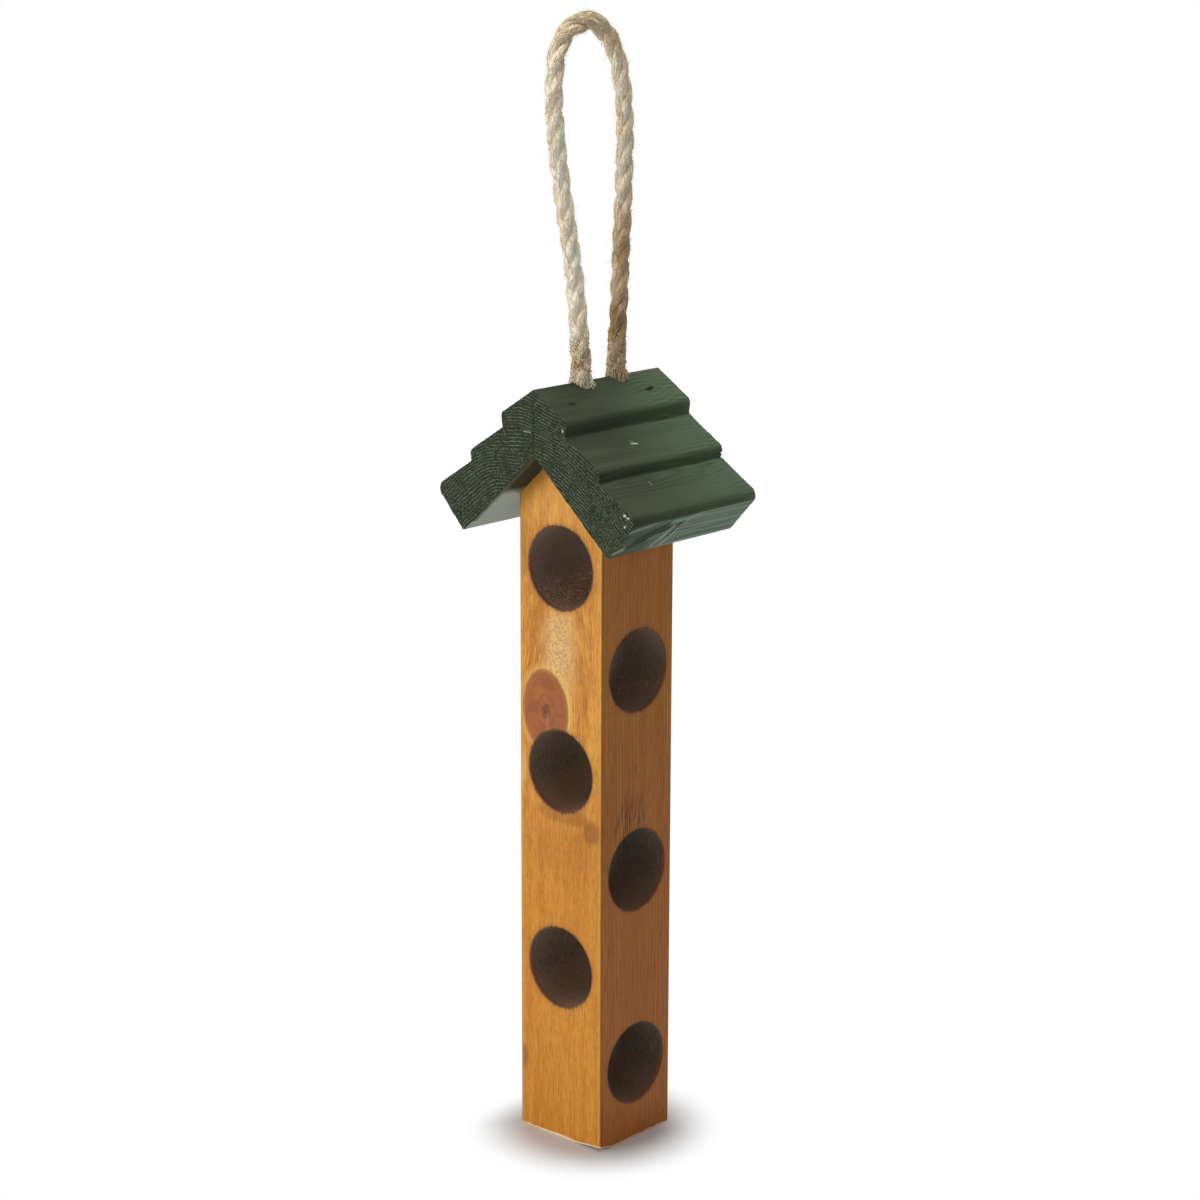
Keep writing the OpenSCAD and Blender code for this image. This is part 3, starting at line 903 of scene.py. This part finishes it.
def loose_fibre(rope, i, length, lift, thickness):
    """A fibre that leaves the rope's surface and curls away"""
    angle, out, round_about = rope.somewhere(i)
    heading = draw.choice((-1, 1)) * rope.ahead[i] + draw.uniform(-0.5, 0.5) * round_about
    heading = heading / np.linalg.norm(heading)
    curl = draw.uniform(-0.35, 0.35)
    start = rope.line[i] + out * (rope.surface(i, angle) - 0.1 * MM)
    made = []
    for u in (0, 0.3, 0.65, 1):
        place = start + length * (u * heading + lift * u * u * out + curl * u * u * round_about)
        made.append((place, thickness * (1 - 0.75 * u * u)))
    return made


def laid_fibre(rope, first, last):
    """A fibre of a strand's surface. It runs along the rope, over the strand's crown, and goes
    down between the strands at both ends."""
    strand = draw.randrange(STRANDS)
    i = draw.randint(first, last)
    half = round(draw.uniform(1.6, 3.6) * MM / ROPE_STEP)
    angle = rope.turn(strand, i) + draw.gauss(0, 0.6)
    skew = draw.gauss(0, 0.4)
    lift = draw.uniform(-0.1, 0.22) * MM
    thickness = draw.uniform(0.08, 0.2) * MM
    made = []
    for n in (-2, -1, 0, 1, 2):
        j = min(max(i + n * half // 2, 0), len(rope.line) - 1)
        turned = angle + skew * n / 2
        far = rope.reach(j, strand, turned) + lift + draw.uniform(-0.04, 0.04) * MM
        made.append((rope.line[j] + rope.out(j, turned) * far, thickness * (1 if abs(n) < 2 else 0.5)))
    return made


def roof_top(x):
    """Height of the roof's top lap at a distance from the ridge"""
    return RIDGE_Z - abs(x) * math.tan(LAP_SLOPE)


def collar_fibre(rope, exit_index, way):
    """A frayed end that comes down the root of the rope and lies on the roof"""
    i = exit_index + way * draw.randint(1, 4)
    angle, out, round_about = rope.somewhere(i)
    skew = round_about * draw.uniform(-0.8, 0.8) * MM
    place = rope.line[i] + out * (rope.surface(i, angle) + draw.uniform(-0.4, 0.1) * MM)
    splay = draw.triangular(-0.6, 2.2, 0.0) * MM
    tip = rope.line[exit_index] + out * (rope.surface(exit_index, angle) + splay) + skew
    tip[2] = roof_top(tip[0]) + draw.triangular(0.0, 2.2, 0.1) * MM
    thickness = draw.uniform(0.1, 0.26) * MM
    bow = out * draw.uniform(-0.1, 0.5) * MM
    made = [(place, thickness)]
    for u in (0.4, 0.75, 1):
        along = place + (tip - place) * u + bow * math.sin(math.pi * u) + skew * math.sin(3 * u)
        along[2] = max(along[2], roof_top(along[0]) + 0.02 * MM)
        made.append((along, thickness * (1 - 0.5 * u * u)))
    return made


def curl(rope, i, swell):
    """A short crinkled fibre on the rope's surface, thicker and looser by a share"""
    angle, out, round_about = rope.somewhere(i)
    place = rope.line[i] + out * (rope.surface(i, angle) - 0.1 * MM)
    heading = rope.ahead[i] * draw.choice((-1, 1)) + round_about * draw.gauss(0, 0.9)
    reach = draw.uniform(0.5, 1.0) * MM
    thickness = draw.uniform(0.09, 0.22) * swell * MM
    made = []
    for lift in (-0.1, 0.3, 0.35, -0.05):
        made.append((place + out * lift * draw.uniform(0.3, 1.4) * swell * MM, thickness))
        heading = heading / np.linalg.norm(heading) + round_about * draw.gauss(0, 0.7)
        place = place + heading / np.linalg.norm(heading) * reach
    return made


def make_rope(material):
    """The hanging loop with its fibres and frayed roots, and the ends inside the ridge"""
    rope = Rope()
    loop = strands(rope, "rope_loop", rope.first, rope.last, material)
    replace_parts(loop, "hanging_rope")

    laid = [laid_fibre(rope, rope.first - 3, rope.last + 3) for _ in range(LAID_FIBRES)]
    laid = hairs("rope_laid_fibres", laid, material)
    stray = []
    for count, lengths, lifts, thicknesses in STRAY_HAIRS:
        for _ in range(count):
            i = draw.randint(rope.first, rope.last)
            length = draw.triangular(*lengths) * MM
            lift = draw.uniform(*lifts)
            stray.append(loose_fibre(rope, i, length, lift, draw.uniform(*thicknesses) * MM))
    stray = hairs("rope_stray_hairs", stray, material)
    fuzz = []
    for exit_index, way in ((rope.first, 1), (rope.last, -1)):
        fuzz += [collar_fibre(rope, exit_index, way) for _ in range(COLLAR_FIBRES)]
        fuzz += [curl(rope, exit_index + way * draw.randint(2, 22), 1) for _ in range(ROOT_CURLS)]
    fuzz += [curl(rope, draw.randint(rope.first, rope.last), 0.65) for _ in range(SURFACE_CURLS)]
    fuzz = hairs("rope_fuzz", fuzz, material)

    for name, node, first, last in (
        ("rope_stub_front", "rope_end_front", 0, rope.first),
        ("rope_stub_back", "rope_end_back", rope.last, len(rope.line) - 1),
    ):
        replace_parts(strands(rope, name, first, last, material), node)


def merged_copy(node):
    """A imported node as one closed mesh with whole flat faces"""
    bm = bmesh.new()
    bm.from_mesh(frame["nodes"][node].data)
    bmesh.ops.remove_doubles(bm, verts=bm.verts, dist=WELD)
    bmesh.ops.dissolve_limit(bm, angle_limit=FLAT_ANGLE, verts=bm.verts, edges=bm.edges)
    return bm


def ease_edges(bm, width, below=FAR):
    """Rounds the sharp edges that lie below a height"""
    sharp = [e for e in bm.edges
             if e.calc_face_angle(0) > EASED_ANGLE and max(v.co.z for v in e.verts) < below]
    bmesh.ops.bevel(bm, geom=sharp, offset=width, affect="EDGES", segments=2, profile=0.5, material=-1)


def cut(bm, place, normal, **settings):
    """Cuts the whole mesh along a plane"""
    geom = bm.verts[:] + bm.edges[:] + bm.faces[:]
    return bmesh.ops.bisect_plane(
        bm, geom=geom, dist=CUT_TOLERANCE, plane_co=place, plane_no=normal, **settings)


def finish_mesh(bm, name):
    """Turns a bmesh into a smooth mesh that keeps its real corners"""
    for face in bm.faces:
        face.smooth = True
    for edge in bm.edges:
        edge.smooth = edge.calc_face_angle(0) < CORNER_ANGLE
    mesh = bpy.data.meshes.new(name)
    bm.to_mesh(mesh)
    bm.free()
    return mesh


def make_post(material):
    """The post with its worn bore rims and a worn corner at the foot"""
    bm = merged_copy("post")
    a, b, c = WORN_CORNER
    worn = cut(bm, a * MM, (c - a).cross(b - a).normalized(), clear_outer=True)
    bmesh.ops.edgeloop_fill(bm, edges=[g for g in worn["geom_cut"] if isinstance(g, bmesh.types.BMEdge)])
    eave = POST_HIGH.z - math.tan(PITCH) * POST_HIGH.x
    ease_edges(bm, RIM_EASE, eave - 1 * MM)
    post = place_piece("drilled_post", finish_mesh(bm, "drilled_post"), material)
    even = post.modifiers.new("even_shading", "WEIGHTED_NORMAL")
    even.keep_sharp = True
    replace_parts(post, "post")


def torn_fibre(hole, across, mouth, up):
    """A short fibre left standing at a mouth of a bore, or None where the bore is too steep"""
    angle = draw.gauss(0, 0.55)
    if abs(angle) > 1.3:
        return None
    radius = (HOLE_RADIUS + 0.15) * MM
    root = Vector((0, 0, hole * MM + up * radius * math.cos(angle)))
    root[across] = radius * math.sin(angle)
    root[1 - across] = mouth * (POST_HIGH[1 - across] - draw.uniform(0.0, 0.8) * MM)
    length = draw.triangular(0.3, 1.7, 0.5) * MM * math.cos(angle)
    lean = Vector((0, 0, -up))
    lean[across] = draw.uniform(-0.25, 0.25)
    lean[1 - across] = mouth * draw.uniform(-0.2, 0.12)
    thickness = draw.uniform(0.05, 0.13) * MM
    return [(root + lean * length * u, thickness * (1 - 0.8 * u)) for u in (0, 0.5, 1)]


def make_torn_fibres(material):
    """The fibres at the mouths of the bores, above and below, along the grain"""
    lines = [torn_fibre(hole, across, mouth, up)
             for holes, across in ((FRONT_HOLES, 0), (SIDE_HOLES, 1)) for hole in holes
             for mouth in (-1, 1) for up, count in TORN for _ in range(count)]
    mesh = spin("torn_rim_fibres", [line for line in lines if line])
    place_piece("torn_rim_fibres", mesh, material)


def bump_away(place, middle, sizes):
    """Distance from a middle, in half sizes"""
    return math.hypot(*((p - m) / s for p, m, s in zip(place, middle, sizes)))


def grain_ripple(place, knots):
    """From -1 to 1, how the grain under the paint swells and sinks round its knots"""
    total = 0
    for middle, stretch, count, strength in knots:
        away = bump_away(place, middle, stretch)
        total += strength * max(0.0, 1 - away / count) * math.cos(2 * math.pi * away)
    return total


def make_board(node, name, side, pith, marks, knots, material):
    """A moulded roof board: eased ends, grain standing up under the paint, and its dents"""
    bm = merged_copy(node)
    layers = {what: bm.verts.layers.float.new(what) for what in BOARD_LAYERS}
    ease_edges(bm, ARRIS)

    down = Vector((side * math.cos(PITCH), 0, -math.sin(PITCH)))
    over = Vector((side * math.sin(PITCH), 0, math.cos(PITCH)))
    for direction, step in ((down, CUT_STEP), (over, CUT_STEP), (Vector((0, 1, 0)), CUT_ALONG)):
        reach = [v.co.dot(direction) for v in bm.verts]
        for n in range(1, int((max(reach) - min(reach)) / step)):
            cut(bm, direction * (min(reach) + n * step), direction)
    bm.normal_update()

    for vert in bm.verts:
        place = vert.co / MM
        end = min(1.0, max(0.0, (abs(vert.normal.y) - 0.5) / 0.3))
        under = vert.normal.dot(-over) > 0.98
        hidden = abs(place.x) < RIDGE_JOINT or under and abs(place.x) < HIDDEN_WIDTH

        # Growth rings, which stand up on the sawn ends
        wander = 2.2 * noise.noise(place / 17) + 0.35 * noise.noise(place / 3)
        ring = (math.hypot(place.x - pith[0], place.z - pith[1]) + wander) / RING_SPACING
        late_wood = max(0.0, math.sin(2 * math.pi * (ring - 0.4))) ** 2
        rough_end = 0.1 * late_wood + 0.12 * noise.noise(place / 0.9) + 0.3 * noise.noise(place / 3.3)

        # Grain lines along the faces, stronger towards the back
        ripple = grain_ripple(place, knots)
        across = place.dot(down)
        lines = math.sin(2 * math.pi * (across / LINE_SPACING + 0.9 * noise.noise(place / 14)))
        lines *= 0.7 + 0.9 * noise.noise(Vector((across / 3, place.y / 25, 4)))
        at_back = min(1.0, max(0.0, (place.y - 2) / 22)) * (1 if abs(place.x) < TOP_LAP else 0.5)
        lengthwise = Vector((place.x / 1.3, place.y / 60, place.z / 1.3))
        rough_face = 0.03 * noise.noise(lengthwise) + 0.06 * ripple + (0.01 + 0.1 * at_back) * lines

        height = 0 if hidden else end * rough_end + (1 - end) * rough_face
        chip = 0.0
        for middle, sizes, depth, bare in marks:
            away = bump_away(place, middle, sizes)
            dent = max(0.0, 1 - away * away + 0.5 * noise.noise(place / 0.7)) if away < 1.3 else 0
            height -= depth * dent
            chip = max(chip, bare * min(1, dent * 2))
        values = (0.2 < abs(vert.normal.y) < 0.95, ring, end, chip, under, vert.normal.dot(down) > 0.95,
                  ripple + (0.12 + 0.9 * at_back) * lines)
        for what, value in zip(BOARD_LAYERS, values):
            vert[layers[what]] = value
        vert.co += vert.normal * height * MM
    board = place_piece(name, finish_mesh(bm, name), material)
    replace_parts(board, node)


def make_camera():
    """The photograph's camera"""
    data = bpy.data.cameras.new("camera")
    data.sensor_width = SENSOR
    data.lens = LENS
    camera = new_object("camera", data)
    back = Vector((math.sin(AZIMUTH) * math.cos(ELEVATION), -math.cos(AZIMUTH) * math.cos(ELEVATION),
                   math.sin(ELEVATION)))
    camera.location = AIM + back * DISTANCE
    camera.rotation_mode = "QUATERNION"
    camera.rotation_quaternion = (-back).to_track_quat("-Z", "Y") @ Quaternion((0, 0, 1), ROLL)
    bpy.context.scene.camera = camera


def seen_directly(tree):
    """1 for what the camera sees, also in a reflection or through glass"""
    rays = add(tree, "LightPath").outputs
    return most(tree, rays["Is Camera Ray"], rays["Is Glossy Ray"], rays["Is Transmission Ray"])


def make_floor():
    """A pale floor that stays white to the eye and keeps the feeder's shadow"""
    bm = bmesh.new()
    bmesh.ops.create_circle(bm, cap_ends=True, radius=FLOOR_RADIUS, segments=96)
    material, tree = new_material("matt_white_board")
    board = add(tree, "BsdfPrincipled", named={
        "Base Color": linear("#dddad8"), "Roughness": 0.9, "Specular IOR Level": 0.1})
    place = add(tree, "TexCoord").outputs["Object"]
    white = 0.0
    for middle, begins, full in GLOWS:
        away = add(tree, "VectorMath", place, middle, operation="DISTANCE").outputs["Value"]
        white = most(tree, white, share(tree, (away, begins, full)))
    glow = add(tree, "Emission", linear("#ffffff"), 1.0)
    both = add(tree, "MixShader", share(tree, seen_directly(tree), white), board, glow)
    add(tree, "OutputMaterial", both)
    floor = new_object("floor", finish_mesh(bm, "floor"))
    floor.data.materials.append(material)


def make_light():
    """Even studio light: a big soft lamp at the front left, one overhead, and a pale surround"""
    for name, place, side, power in LAMPS:
        data = bpy.data.lights.new(name, "AREA")
        data.shape = "SQUARE"
        data.size = side
        data.energy = power
        lamp = new_object(name, data)
        lamp.location = place
        lamp.rotation_euler = (Vector(LAMP_AIM) - Vector(place)).to_track_quat("-Z", "Y").to_euler()
    world = bpy.data.worlds.new("studio")
    world.use_nodes = True
    tree = world.node_tree
    tree.nodes.clear()
    ambient = add(tree, "Background", linear("#ffffff"), SURROUND)
    white = add(tree, "Background", linear("#ffffff"), 1.0)
    add(tree, "OutputWorld", add(tree, "MixShader", seen_directly(tree), ambient, white))
    bpy.context.scene.world = world


make_camera()
make_rope(sisal())
make_post(stained_pine())
make_torn_fibres(torn_wood())
green = painted_pine()
make_board("roof_board_right", "right_roof_board", 1, RIGHT_PITH, RIGHT_MARKS, RIGHT_KNOTS, green)
make_board("roof_board_left", "left_roof_board", -1, LEFT_PITH, LEFT_MARKS, LEFT_KNOTS, green)
wire = bright_wire()
for brads in ("roof_brads", "rope_brads"):
    for material_slot in frame["nodes"][brads].material_slots:
        material_slot.material = wire
make_floor()
make_light()
bpy.context.scene.view_settings.view_transform = "Standard"
